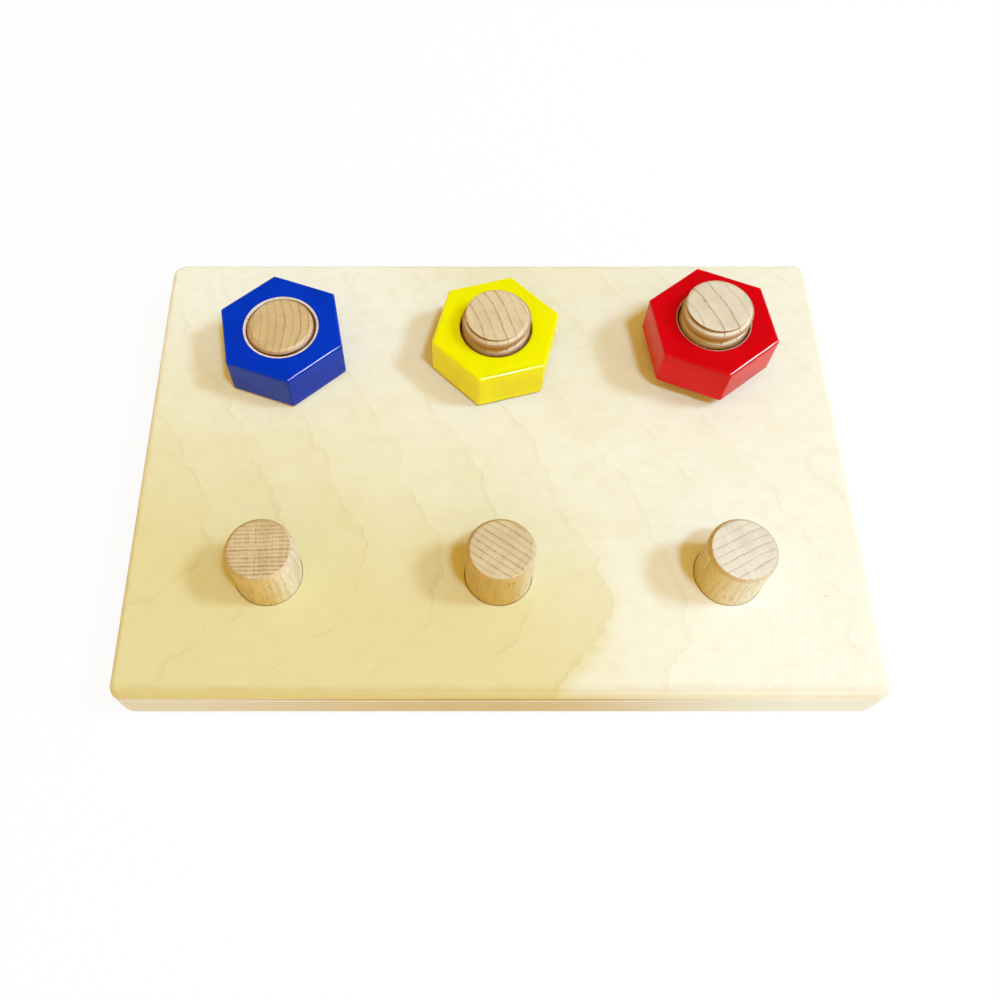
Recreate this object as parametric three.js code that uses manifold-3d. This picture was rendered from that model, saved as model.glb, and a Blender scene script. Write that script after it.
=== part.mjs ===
// A wooden nut and bolt board for small hands. Three coarse wooden bolts carry painted
// hexagonal nuts, and three plain pegs in front of them take the nuts that come off.
// Millimetres, +Z up. The origin is the middle of the board's underside, and +Y points
// from the plain pegs to the bolts.
import * as THREE from "three";
import { mergeVertices } from "three/addons/utils/BufferGeometryUtils.js";
import Module from "manifold-3d";

const wasm = await Module();
wasm.setup();

// Board
const BOARD_WIDTH = 300;
const BOARD_DEPTH = 210;
const BOARD_THICKNESS = 21;
const BOARD_CORNER_RADIUS = 6;
const BOARD_ROUND_OVER = 3;

// Two rows of three drilled seats, placed in from the board's edges. The shift moves a whole row
// along X, as neither row is drilled quite in the middle.
const BOLT_COLUMN_MARGIN = 56.7;
const BOLT_ROW_MARGIN = 52;
const BOLT_ROW_SHIFT = 1.1;
const PEG_COLUMN_MARGIN = 57.5;
const PEG_ROW_MARGIN = 51.2;
const PEG_ROW_SHIFT = 0.5;
const SEAT_DEPTH = 12;
const SEAT_MOUTH_CHAMFER = 0.3;

// Plain pegs, and the plain feet of the bolts
const PEG_DIAMETER = 27;
const PEG_HEIGHT = 24.8;
const PEG_TOP_CHAMFER = 1.4;
const PEG_FOOT_CHAMFER = 1;

// Bolts, measured from the board's top
const BOLT_DIAMETER = 29.5;
const BLUE_BOLT_HEIGHT = 22.5;
const YELLOW_BOLT_HEIGHT = 28.6;
const RED_BOLT_HEIGHT = 34.9;
const BOLT_CHAMFER_WIDTH = 1.8;
const BOLT_CHAMFER_HEIGHT = 1.3;

// Right-hand thread with sloped flanks
const THREAD_PITCH = 6;
const THREAD_DEPTH = 1.9;
const THREAD_CREST_WIDTH = 1.8;
const THREAD_FLANK_ANGLE = THREE.MathUtils.degToRad(30);
const THREAD_PLAY = 0.8;
// Where the groove leaves each bolt's end, turned from +X
const BLUE_RUN_OUT = THREE.MathUtils.degToRad(170);
const YELLOW_RUN_OUT = THREE.MathUtils.degToRad(-98);
const RED_RUN_OUT = THREE.MathUtils.degToRad(-78);

// Nuts. The lift is the height of the underside above the board at rest.
const NUT_ACROSS_FLATS = 50;
const NUT_THICKNESS = 20;
const NUT_CORNER_RADIUS = 1.5;
const NUT_EDGE_ROUND = 1.3;
const NUT_LOWER_MOUTH_CHAMFER = 1;
const BLUE_NUT_LIFT = 0.5;
const YELLOW_NUT_LIFT = 0.4;
const RED_NUT_LIFT = 5.5;
const BLUE_NUT_YAW = THREE.MathUtils.degToRad(40);
const YELLOW_NUT_YAW = THREE.MathUtils.degToRad(15);
const RED_NUT_YAW = THREE.MathUtils.degToRad(37.5);

// Rim of the nut's upper mouth
const MOUTH_TO_BOLT = 1.6;
const BLUE_RIM_WIDTH = 1.05;
const YELLOW_RIM_WIDTH = 0.7;
const RED_RIM_WIDTH = 0.7;
const RIM_HEIGHT = 1.8;
const RIM_CHAMFER = 0.3;

// Countersunk wood screws that hold the pegs and bolts from below
const SCREW_DIAMETER = 4;
const SCREW_HEAD_DIAMETER = 8;
const SCREW_HEAD_HEIGHT = 2.4;
const SCREW_REACH = 15;
const SCREW_TIP_LENGTH = 4;
const SCREW_RECESS = 0.6;
const CROSS_SLOT_LENGTH = 4.4;
const CROSS_SLOT_WIDTH = 1;
const CROSS_SLOT_DEPTH = 1.4;

// Clearances, how far a cutter reaches past the surface it cuts, and facet counts
const SEAT_GAP = 0.3;
const OVERCUT = 1;
const MERGE_DISTANCE = 1e-4;
const ROUND_SIDES = 32;
const THREAD_SIDES = 24;
const SCREW_SIDES = 18;
const CORNER_STEPS = 3;
const EDGE_STEPS = 3;

// Sizes that follow from the ones above
const pegRadius = PEG_DIAMETER / 2;
const seatRadius = pegRadius + SEAT_GAP;
const footHeight = SEAT_GAP - SEAT_DEPTH;
const crestRadius = BOLT_DIAMETER / 2;
const rootRadius = crestRadius - THREAD_DEPTH;
const mouthRadius = crestRadius + MOUTH_TO_BOLT;
const screwRadius = SCREW_DIAMETER / 2;
const headRadius = SCREW_HEAD_DIAMETER / 2;
const screwBottom = SCREW_RECESS - BOARD_THICKNESS;
const screwTop = footHeight + SCREW_REACH;

// A closed geometry as a solid that can be cut and joined.
function solidOf(geometry) {
  const bare = geometry.index ? geometry.toNonIndexed() : geometry.clone();
  bare.deleteAttribute("normal");
  bare.deleteAttribute("uv");
  const merged = mergeVertices(bare, MERGE_DISTANCE);
  const corners = merged.index.array;
  const triVerts = [];
  for (let i = 0; i < corners.length; i += 3) {
    const [a, b, c] = corners.slice(i, i + 3);
    if (a !== b && b !== c && c !== a) triVerts.push(a, b, c);
  }
  return new wasm.Manifold(
    new wasm.Mesh({
      numProp: 3,
      vertProperties: merged.attributes.position.array,
      triVerts: new Uint32Array(triVerts),
    }),
  );
}

function geometryOf(solid) {
  const { vertProperties, triVerts } = solid.getMesh();
  const geometry = new THREE.BufferGeometry();
  geometry.setAttribute("position", new THREE.BufferAttribute(vertProperties, 3));
  geometry.setIndex(new THREE.BufferAttribute(triVerts, 1));
  geometry.computeVertexNormals();
  return geometry;
}

// A solid of revolution about Z from [radius, height] points that run up from the axis.
function revolved(outline, sides = ROUND_SIDES) {
  const points = outline.map(([radius, height]) => new THREE.Vector2(radius, height));
  return solidOf(new THREE.LatheGeometry(points, sides).rotateX(Math.PI / 2));
}

// An outline pulled up from z = 0, with its upper and lower edges rounded over.
function roundedPrism(shape, height, edgeRound) {
  const geometry = new THREE.ExtrudeGeometry(shape, {
    depth: height - 2 * edgeRound,
    bevelThickness: edgeRound,
    bevelSize: edgeRound,
    bevelOffset: -edgeRound,
    bevelSegments: EDGE_STEPS,
    curveSegments: CORNER_STEPS,
  });
  return solidOf(geometry.translate(0, 0, edgeRound));
}

// A rod with a right-hand helical groove that reaches past both ends, as one closed body.
// The groove's middle crosses the height level where it faces the direction runOut.
function threadedRod(root, crest, bottom, top, level, runOut) {
  const flank = (crest - root) * Math.tan(THREAD_FLANK_ANGLE);
  const grooveWidth = THREAD_PITCH - THREAD_CREST_WIDTH - 2 * flank;
  const profile = [
    { rise: -grooveWidth / 2, radius: root },
    { rise: grooveWidth / 2, radius: root },
    { rise: grooveWidth / 2 + flank, radius: crest },
    { rise: grooveWidth / 2 + flank + THREAD_CREST_WIDTH, radius: crest },
  ];
  const steps = profile.length;
  const firstTurn = Math.floor((bottom - level) / THREAD_PITCH) - 2;
  const lastTurn = Math.ceil((top - level) / THREAD_PITCH) + 1;
  const rows = (lastTurn - firstTurn + 1) * steps;
  const positions = [];
  for (let row = 0; row < rows; row++) {
    const { rise, radius } = profile[row % steps];
    const turn = firstTurn + Math.floor(row / steps);
    for (let side = 0; side < THREAD_SIDES; side++) {
      const share = side / THREAD_SIDES;
      const angle = runOut + share * 2 * Math.PI;
      const height = level + (turn + share) * THREAD_PITCH + rise;
      positions.push(radius * Math.cos(angle), radius * Math.sin(angle), height);
    }
  }
  // One whole turn on, the helix has climbed by one profile.
  const vertex = (row, side) =>
    side < THREAD_SIDES ? row * THREAD_SIDES + side : (row + steps) * THREAD_SIDES;
  const faces = [];
  for (let row = 0; row < rows - 1; row++) {
    for (let side = 0; side < THREAD_SIDES; side++) {
      if (side === THREAD_SIDES - 1 && row + 1 + steps >= rows) continue;
      const corners = [vertex(row, side), vertex(row, side + 1)];
      corners.push(vertex(row + 1, side + 1), vertex(row + 1, side));
      faces.push(corners[0], corners[1], corners[2], corners[0], corners[2], corners[3]);
    }
  }
  const lowerRim = [];
  const upperRim = [];
  for (let side = 0; side < THREAD_SIDES; side++) {
    lowerRim.push(vertex(0, side));
    upperRim.push(vertex(rows - 1, side));
  }
  for (let step = 0; step < steps; step++) {
    lowerRim.push(vertex(steps - step, 0));
    upperRim.push(vertex(rows - 2 - step, THREAD_SIDES - 1));
  }
  const closeEnd = (rim, height, facesUp) => {
    const middle = positions.length / 3;
    positions.push(0, 0, height);
    rim.forEach((from, i) => {
      const to = rim[(i + 1) % rim.length];
      faces.push(middle, ...(facesUp ? [from, to] : [to, from]));
    });
  };
  const halfway = THREAD_PITCH / 2;
  closeEnd(lowerRim, level + firstTurn * THREAD_PITCH + halfway, false);
  closeEnd(upperRim, level + lastTurn * THREAD_PITCH + halfway, true);
  const geometry = new THREE.BufferGeometry();
  geometry.setAttribute("position", new THREE.Float32BufferAttribute(positions, 3));
  geometry.setIndex(faces);
  return solidOf(geometry);
}

function roundedRectangle(width, depth, radius) {
  const shape = new THREE.Shape();
  const x = width / 2 - radius;
  const y = depth / 2 - radius;
  const quarter = Math.PI / 2;
  shape.absarc(x, y, radius, 0, quarter);
  shape.absarc(-x, y, radius, quarter, 2 * quarter);
  shape.absarc(-x, -y, radius, 2 * quarter, 3 * quarter);
  shape.absarc(x, -y, radius, 3 * quarter, 4 * quarter);
  return shape;
}

// A hexagon with rounded corners, the first of which points along yaw.
function roundedHexagon(acrossFlats, radius, yaw) {
  const shape = new THREE.Shape();
  const sixth = Math.PI / 3;
  const toCorner = acrossFlats / 2 / Math.cos(sixth / 2);
  const toArc = toCorner - radius / Math.sin(sixth);
  for (let corner = 0; corner < 6; corner++) {
    const angle = yaw + corner * sixth;
    const x = toArc * Math.cos(angle);
    const y = toArc * Math.sin(angle);
    shape.absarc(x, y, radius, angle - sixth / 2, angle + sixth / 2);
  }
  return shape;
}

// Drilling for one peg or bolt: a flat-bottomed seat, and a countersunk screw hole below it.
function seatCutter() {
  const screwHole = screwRadius + SEAT_GAP;
  const headHole = headRadius + SEAT_GAP;
  const below = -BOARD_THICKNESS - OVERCUT;
  const headTop = screwBottom + SCREW_HEAD_HEIGHT + SEAT_GAP;
  const screwCut = revolved(
    [
      [0, below],
      [headHole, below],
      [headHole, screwBottom + SEAT_GAP],
      [screwHole, headTop],
      [screwHole, OVERCUT - SEAT_DEPTH],
      [0, OVERCUT - SEAT_DEPTH],
    ],
    SCREW_SIDES,
  );
  const seatCut = revolved([
    [0, -SEAT_DEPTH],
    [seatRadius, -SEAT_DEPTH],
    [seatRadius, -SEAT_MOUTH_CHAMFER],
    [seatRadius + SEAT_MOUTH_CHAMFER, 0],
    [seatRadius + SEAT_MOUTH_CHAMFER, OVERCUT],
    [0, OVERCUT],
  ]);
  return seatCut.add(screwCut);
}

function boardSolid(places) {
  const outline = roundedRectangle(BOARD_WIDTH, BOARD_DEPTH, BOARD_CORNER_RADIUS);
  const cutter = seatCutter();
  let board = roundedPrism(outline, BOARD_THICKNESS, BOARD_ROUND_OVER);
  for (const { x, y } of places) {
    board = board.subtract(cutter.translate([x, y, BOARD_THICKNESS]));
  }
  return board;
}

// Pilot hole that the screw follows up into a foot.
function pilotHole() {
  const radius = screwRadius + SEAT_GAP;
  const outline = [
    [0, footHeight - OVERCUT],
    [radius, footHeight - OVERCUT],
    [radius, screwTop + SEAT_GAP],
    [0, screwTop + SEAT_GAP],
  ];
  return revolved(outline, SCREW_SIDES);
}

function pegSolid() {
  const peg = revolved([
    [0, footHeight],
    [pegRadius - PEG_FOOT_CHAMFER, footHeight],
    [pegRadius, footHeight + PEG_FOOT_CHAMFER],
    [pegRadius, PEG_HEIGHT - PEG_TOP_CHAMFER],
    [pegRadius - PEG_TOP_CHAMFER, PEG_HEIGHT],
    [0, PEG_HEIGHT],
  ]);
  return peg.subtract(pilotHole());
}

// A threaded stem whose shoulder sits on the board, over a plain foot in the seat.
function boltSolid({ height, runOut }) {
  const rod = threadedRod(rootRadius, crestRadius, 0, height, height, runOut);
  // The end's chamfer slopes on past the crests, so that it cuts them cleanly.
  const chamferSlope = BOLT_CHAMFER_HEIGHT / BOLT_CHAMFER_WIDTH;
  const chamferFoot = height - BOLT_CHAMFER_HEIGHT - OVERCUT * chamferSlope;
  const stem = revolved([
    [0, SEAT_GAP],
    [crestRadius + OVERCUT, SEAT_GAP],
    [crestRadius + OVERCUT, chamferFoot],
    [crestRadius - BOLT_CHAMFER_WIDTH, height],
    [0, height],
  ]);
  // A core on the foot reaches up into the stem and joins the two.
  const coreRadius = rootRadius / 2;
  const coreTop = height / 2;
  const foot = revolved([
    [0, footHeight],
    [pegRadius - PEG_FOOT_CHAMFER, footHeight],
    [pegRadius, footHeight + PEG_FOOT_CHAMFER],
    [pegRadius, SEAT_GAP],
    [coreRadius, SEAT_GAP],
    [coreRadius, coreTop],
    [0, coreTop],
  ]);
  return rod.intersect(stem).add(foot).subtract(pilotHole());
}

// A nut in mesh with its bolt, with a step in its upper mouth for the rim.
function nutSolid({ height, runOut, lift, yaw }) {
  const top = lift + NUT_THICKNESS;
  const outline = roundedHexagon(NUT_ACROSS_FLATS, NUT_CORNER_RADIUS, yaw);
  const block = roundedPrism(outline, NUT_THICKNESS, NUT_EDGE_ROUND).translate([0, 0, lift]);
  const root = rootRadius + THREAD_PLAY;
  const crest = crestRadius + THREAD_PLAY;
  const tap = threadedRod(root, crest, lift, top, height, runOut);
  const rimStep = revolved([
    [0, top - RIM_HEIGHT - SEAT_GAP],
    [mouthRadius + SEAT_GAP, top - RIM_HEIGHT - SEAT_GAP],
    [mouthRadius + SEAT_GAP, top + OVERCUT],
    [0, top + OVERCUT],
  ]);
  const lowerMouth = revolved([
    [0, lift - OVERCUT],
    [crest + NUT_LOWER_MOUTH_CHAMFER + OVERCUT, lift - OVERCUT],
    [crest, lift + NUT_LOWER_MOUTH_CHAMFER],
    [0, lift + NUT_LOWER_MOUTH_CHAMFER],
  ]);
  return block.subtract(tap).subtract(rimStep).subtract(lowerMouth);
}

// The ring round the nut's upper mouth, level with the nut's top.
function rimSolid({ lift, rimWidth }) {
  const top = lift + NUT_THICKNESS;
  const foot = top - RIM_HEIGHT;
  const innerRadius = mouthRadius - rimWidth;
  return revolved([
    [innerRadius, foot],
    [mouthRadius, foot],
    [mouthRadius, top],
    [innerRadius + RIM_CHAMFER, top],
    [innerRadius, top - RIM_CHAMFER],
    [innerRadius, foot],
  ]);
}

function screwSolid() {
  const shank = revolved(
    [
      [0, screwBottom],
      [headRadius, screwBottom],
      [screwRadius, screwBottom + SCREW_HEAD_HEIGHT],
      [screwRadius, screwTop - SCREW_TIP_LENGTH],
      [0, screwTop],
    ],
    SCREW_SIDES,
  );
  const slotHeight = 2 * CROSS_SLOT_DEPTH;
  const alongX = new THREE.BoxGeometry(CROSS_SLOT_LENGTH, CROSS_SLOT_WIDTH, slotHeight);
  const alongY = new THREE.BoxGeometry(CROSS_SLOT_WIDTH, CROSS_SLOT_LENGTH, slotHeight);
  const cross = solidOf(alongX).add(solidOf(alongY));
  return shank.subtract(cross.translate([0, 0, screwBottom]));
}

const plywood = { color: 0xf0e2b4, roughness: 0.55, metalness: 0 };
const beech = { color: 0xd8b983, roughness: 0.6, metalness: 0 };
const bareRim = { color: 0xe6d3b4, roughness: 0.65, metalness: 0 };
const steel = { color: 0xb9bcc0, roughness: 0.35, metalness: 1 };
const bluePaint = { color: 0x0a3cb8, roughness: 0.25, metalness: 0 };
const yellowPaint = { color: 0xf6ec05, roughness: 0.25, metalness: 0 };
const redPaint = { color: 0xdc0a16, roughness: 0.25, metalness: 0 };

const blueBolt = {
  name: "blue",
  paint: bluePaint,
  height: BLUE_BOLT_HEIGHT,
  runOut: BLUE_RUN_OUT,
  lift: BLUE_NUT_LIFT,
  yaw: BLUE_NUT_YAW,
  rimWidth: BLUE_RIM_WIDTH,
  rimFinish: bareRim,
};
const yellowBolt = {
  name: "yellow",
  paint: yellowPaint,
  height: YELLOW_BOLT_HEIGHT,
  runOut: YELLOW_RUN_OUT,
  lift: YELLOW_NUT_LIFT,
  yaw: YELLOW_NUT_YAW,
  rimWidth: YELLOW_RIM_WIDTH,
  rimFinish: yellowPaint,
};
const redBolt = {
  name: "red",
  paint: redPaint,
  height: RED_BOLT_HEIGHT,
  runOut: RED_RUN_OUT,
  lift: RED_NUT_LIFT,
  yaw: RED_NUT_YAW,
  rimWidth: RED_RIM_WIDTH,
  rimFinish: bareRim,
};

function piece(name, solid, finish) {
  const mesh = new THREE.Mesh(geometryOf(solid), new THREE.MeshStandardMaterial(finish));
  mesh.name = name;
  return mesh;
}

const toy = new THREE.Group();
const places = [];

// A group that stands on the board's top at one seat, with the screw that holds its foot.
function seatGroup(x, y, footName) {
  const group = new THREE.Group();
  group.position.set(x, y, BOARD_THICKNESS);
  group.add(piece(`${footName}_screw`, screwSolid(), steel));
  places.push(group.position);
  toy.add(group);
  return group;
}

[blueBolt, yellowBolt, redBolt].forEach((bolt, i) => {
  const x = (i - 1) * (BOARD_WIDTH / 2 - BOLT_COLUMN_MARGIN) + BOLT_ROW_SHIFT;
  const group = seatGroup(x, BOARD_DEPTH / 2 - BOLT_ROW_MARGIN, `${bolt.name}_bolt`);
  group.add(piece(`${bolt.name}_bolt`, boltSolid(bolt), beech));
  group.add(piece(`${bolt.name}_nut`, nutSolid(bolt), bolt.paint));
  group.add(piece(`${bolt.name}_nut_rim`, rimSolid(bolt), bolt.rimFinish));
});

["left", "middle", "right"].forEach((side, i) => {
  const x = (i - 1) * (BOARD_WIDTH / 2 - PEG_COLUMN_MARGIN) + PEG_ROW_SHIFT;
  const group = seatGroup(x, PEG_ROW_MARGIN - BOARD_DEPTH / 2, `${side}_peg`);
  group.add(piece(`${side}_peg`, pegSolid(), beech));
});

toy.add(piece("base_board", boardSolid(places), plywood));

export default toy;
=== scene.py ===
"""The looks of a wooden nut and bolt board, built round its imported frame."""

import math

import bmesh
import bpy
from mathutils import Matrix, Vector


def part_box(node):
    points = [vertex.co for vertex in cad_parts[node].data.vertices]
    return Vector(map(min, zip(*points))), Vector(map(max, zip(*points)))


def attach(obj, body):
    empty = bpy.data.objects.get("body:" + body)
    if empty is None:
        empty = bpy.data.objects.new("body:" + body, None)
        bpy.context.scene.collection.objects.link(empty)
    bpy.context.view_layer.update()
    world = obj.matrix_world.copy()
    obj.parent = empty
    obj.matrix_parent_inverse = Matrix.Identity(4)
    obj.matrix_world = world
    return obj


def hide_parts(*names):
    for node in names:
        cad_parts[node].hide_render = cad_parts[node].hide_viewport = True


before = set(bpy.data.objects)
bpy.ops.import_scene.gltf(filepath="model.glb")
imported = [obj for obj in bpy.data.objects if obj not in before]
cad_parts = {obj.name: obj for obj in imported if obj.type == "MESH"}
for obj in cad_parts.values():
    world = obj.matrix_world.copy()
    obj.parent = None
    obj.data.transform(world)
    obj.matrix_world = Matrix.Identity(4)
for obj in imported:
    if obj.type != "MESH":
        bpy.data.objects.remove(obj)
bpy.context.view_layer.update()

# Lengths are in millimetres, and turn into metres where an object is made.
MM = 0.001

# The board, and the seats of the posts in it
BOARD_CORNER = 6.0
BOARD_ROUND_OVER = 3.0
SEAT_DEPTH = 12.0
SEAT_GAP = 0.2

# Pegs and bolts
PEG_DIAMETER = 27.0
PEG_TOP_CHAMFER = 1.4
PEG_FOOT_CHAMFER = 1.0
BOLT_DIAMETER = 29.5
BOLT_CHAMFER_WIDTH = 1.8
BOLT_CHAMFER_HEIGHT = 1.3
THREAD_PITCH = 6.0
THREAD_DEPTH = 1.9
THREAD_CREST = 1.8
THREAD_FLANK = math.radians(30)

# Nuts, and the rims round their mouths
THREAD_PLAY = 0.8
NUT_SIDES = 6
NUT_ACROSS_FLATS = 50.0
NUT_CORNER = 1.5
NUT_EDGE = 1.3
NUT_LOWER_CHAMFER = 1.0
MOUTH_TO_BOLT = 1.6
RIM_HEIGHT = 1.8
RIM_CHAMFER = 0.3
RIM_CLEARANCE = 0.03

# Screws, whose cross slots narrow as they go in
SCREW_DIAMETER = 4.0
SCREW_HEAD = 8.0
SCREW_HEAD_HEIGHT = 2.4
SCREW_TIP = 4.0
CROSS_LENGTH = 4.4
CROSS_WIDTH = 1.0
CROSS_DEPTH = 1.4
CROSS_NARROWING = 0.6

# How far a cutter reaches past what it cuts
OVERCUT = 1.0

# The direction in degrees in which each groove leaves its bolt's end, and that of a corner of the nut.
# A rim is bare wood up to a width from its inner edge.
BOLTS = {
    "blue": {"run_out": 170, "yaw": 40, "rim_width": 1.05, "bare_width": 1.05, "rim_slot": "bare_rim"},
    "yellow": {"run_out": -98, "yaw": 15, "rim_width": 0.7, "bare_width": -0.2, "rim_slot": "yellow_paint"},
    "red": {"run_out": -78, "yaw": 37.5, "rim_width": 0.7, "bare_width": 0.4, "rim_slot": "bare_rim"},
}
PEGS = ("left", "middle", "right")

# How finely the pieces are made
ROUND_SIDES = 96
THREAD_SIDES = 72
SCREW_SIDES = 48
ARC_STEPS = 6
SOFT_EDGE = 0.35
SOFT_STEPS = 3
THREAD_SOFT_STEPS = 2
LONGEST_SOFT_SHARE = 0.45
SHARP_ANGLE = math.radians(35)
WELD_M = 1e-6


def box_mm(node):
    low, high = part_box(node)
    return low / MM, high / MM


def axis_of(post):
    """Where the axis of a post, and of the screw that holds it, meets the board's top."""
    low, high = box_mm(post + "_screw")
    middle = (low + high) / 2
    return Vector((middle.x, middle.y, board_high.z))


board_low, board_high = box_mm("base_board")
foot_height = SEAT_GAP - SEAT_DEPTH
peg_radius = PEG_DIAMETER / 2
crest_radius = BOLT_DIAMETER / 2
root_radius = crest_radius - THREAD_DEPTH
mouth_radius = crest_radius + MOUTH_TO_BOLT

# The foot of every post, as radius and height pairs from the axis out
foot_outline = [
    (0, foot_height),
    (peg_radius - PEG_FOOT_CHAMFER, foot_height),
    (peg_radius, foot_height + PEG_FOOT_CHAMFER),
]


def mesh_object(name, vertices, faces, place):
    """An object whose own origin stands at place."""
    mesh = bpy.data.meshes.new(name)
    mesh.from_pydata([Vector(v) * MM for v in vertices], [], faces)
    mesh.update()
    obj = bpy.data.objects.new(name, mesh)
    obj.location = Vector(place) * MM
    bpy.context.scene.collection.objects.link(obj)
    return obj


def rectangle(length, width, height):
    """The corners of a level rectangle about the axis, anticlockwise."""
    x, y = length / 2, width / 2
    return [(x, y, height), (-x, y, height), (-x, -y, height), (x, -y, height)]


def softened(outline, steps=SOFT_STEPS):
    """The outline with each of its inner corners turned into a small curve."""
    points = [Vector(p) for p in outline]
    soft = [points[0]]
    for before, corner, after in zip(points, points[1:], points[2:]):
        back, ahead = before - corner, after - corner
        start = corner + back.normalized() * min(SOFT_EDGE, LONGEST_SOFT_SHARE * back.length)
        end = corner + ahead.normalized() * min(SOFT_EDGE, LONGEST_SOFT_SHARE * ahead.length)
        for i in range(steps + 1):
            t = i / steps
            soft.append(start * (1 - t) ** 2 + corner * 2 * t * (1 - t) + end * t * t)
    soft.append(points[-1])
    return soft


def lathe(name, outline, place, sides=ROUND_SIDES, closed=False):
    """A turned solid from radius and height pairs that run up from the axis, or round a ring."""
    vertices = []
    rings = []
    for radius, height in outline:
        count = sides if radius > 0 else 1
        rings.append(range(len(vertices), len(vertices) + count))
        for i in range(count):
            angle = 2 * math.pi * i / sides
            vertices.append((radius * math.cos(angle), radius * math.sin(angle), height))
    faces = []
    for lower, upper in zip(rings, rings[1:] + (rings[:1] if closed else [])):
        for i in range(sides):
            j = (i + 1) % sides
            corners = [lower[i % len(lower)], lower[j % len(lower)]]
            corners += [upper[j % len(upper)], upper[i % len(upper)]]
            corners = list(dict.fromkeys(corners))
            if len(corners) > 2:
                faces.append(corners)
    return mesh_object(name, vertices, faces, place)


def loft(name, loops, place):
    """A solid through loops of the same count of points, closed by a face at each end."""
    count = len(loops[0])
    vertices = [point for loop in loops for point in loop]
    faces = [list(reversed(range(count)))]
    for row in range(len(loops) - 1):
        for i in range(count):
            j = (i + 1) % count
            low, high = row * count, (row + 1) * count
            faces.append([low + i, low + j, high + j, high + i])
    faces.append(list(range(len(vertices) - count, len(vertices))))
    return mesh_object(name, vertices, faces, place)


def rounded(corners, radius):
    """The outline of a convex polygon, anticlockwise, with its corners rounded."""
    outline = []
    for i, corner in enumerate(corners):
        back = (corners[i - 1] - corner).normalized()
        ahead = (corners[(i + 1) % len(corners)] - corner).normalized()
        half = back.angle(ahead) / 2
        centre = corner + (back + ahead).normalized() * radius / math.sin(half)
        first = corner + back * radius / math.tan(half) - centre
        start = math.atan2(first.y, first.x)
        for step in range(ARC_STEPS + 1):
            angle = start + (math.pi - 2 * half) * step / ARC_STEPS
            outline.append((centre.x + radius * math.cos(angle), centre.y + radius * math.sin(angle)))
    return outline


def edge_profile(height, radius):
    """Inset and height pairs up a side whose lower and upper edges are rounded."""
    turns = [math.pi / 2 * i / ARC_STEPS for i in range(ARC_STEPS + 1)]
    lower = [(radius * (1 - math.sin(t)), radius * (1 - math.cos(t))) for t in turns]
    upper = [(inset, height - rise) for inset, rise in reversed(lower)]
    return lower + upper


def slab(name, corners_at, corner_radius, height, edge, place):
    """A rounded block. corners_at gives its polygon's corners for an inset."""
    loops = []
    for inset, rise in edge_profile(height, edge):
        outline = rounded(corners_at(inset), corner_radius - inset)
        loops.append([(x, y, rise) for x, y in outline])
    return loft(name, loops, place)


def thread_profile(root, crest):
    """Rise and radius pairs through one pitch, from the middle of the groove."""
    flank = (crest - root) * math.tan(THREAD_FLANK)
    groove = THREAD_PITCH - THREAD_CREST - 2 * flank
    outline = [
        (0, root),
        (groove / 2, root),
        (groove / 2 + flank, crest),
        (groove / 2 + flank + THREAD_CREST, crest),
        (THREAD_PITCH - groove / 2, root),
        (THREAD_PITCH, root),
    ]
    return softened(outline, THREAD_SOFT_STEPS)[:-1]


def threaded_rod(name, root, crest, bottom, top, level, run_out, place):
    """A rod with a right-hand groove that crosses the height level in the direction run_out."""
    profile = thread_profile(root, crest)
    steps = len(profile)
    # Whole turns, with some to spare past both ends
    first = math.floor((bottom - level) / THREAD_PITCH) - 2
    last = math.ceil((top - level) / THREAD_PITCH) + 1
    rows = (last - first + 1) * steps
    vertices = []
    for row in range(rows):
        rise, radius = profile[row % steps]
        for side in range(THREAD_SIDES):
            share = side / THREAD_SIDES
            angle = run_out + share * 2 * math.pi
            height = level + (first + row // steps + share) * THREAD_PITCH + rise
            vertices.append((radius * math.cos(angle), radius * math.sin(angle), height))

    def vertex(row, side):
        """One whole turn on, the helix has climbed by one profile."""
        return row * THREAD_SIDES + side if side < THREAD_SIDES else (row + steps) * THREAD_SIDES

    faces = []
    for row in range(rows - 1):
        for side in range(THREAD_SIDES):
            if side == THREAD_SIDES - 1 and row + 1 + steps >= rows:
                continue
            lower = [vertex(row, side), vertex(row, side + 1)]
            faces.append(lower + [vertex(row + 1, side + 1), vertex(row + 1, side)])
    # Each end is closed by a fan from a point on the axis.
    lower_rim = [vertex(0, side) for side in range(THREAD_SIDES)]
    lower_rim += [vertex(steps - step, 0) for step in range(steps)]
    upper_rim = [vertex(rows - 1, side) for side in range(THREAD_SIDES)]
    upper_rim += [vertex(rows - 2 - step, THREAD_SIDES - 1) for step in range(steps)]
    for rim, turn, order in ((lower_rim, first, -1), (upper_rim, last, 1)):
        middle = len(vertices)
        vertices.append((0, 0, level + (turn + 0.5) * THREAD_PITCH))
        for a, b in zip(rim, rim[1:] + rim[:1]):
            faces.append([middle, a, b][::order])
    return mesh_object(name, vertices, faces, place)


def carve(target, cutter, operation="DIFFERENCE"):
    """Cuts target by cutter, which is used up."""
    modifier = target.modifiers.new("carve", "BOOLEAN")
    modifier.operation = operation
    modifier.solver = "EXACT"
    modifier.object = cutter
    graph = bpy.context.evaluated_depsgraph_get()
    carved = bpy.data.meshes.new_from_object(target.evaluated_get(graph))
    target.modifiers.clear()
    target.data = carved
    bpy.data.objects.remove(cutter)


def join(target, other):
    """Adds other's mesh to target's. Both stand at the same place."""
    both = bmesh.new()
    both.from_mesh(target.data)
    both.from_mesh(other.data)
    both.to_mesh(target.data)
    both.free()
    bpy.data.objects.remove(other)


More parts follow.
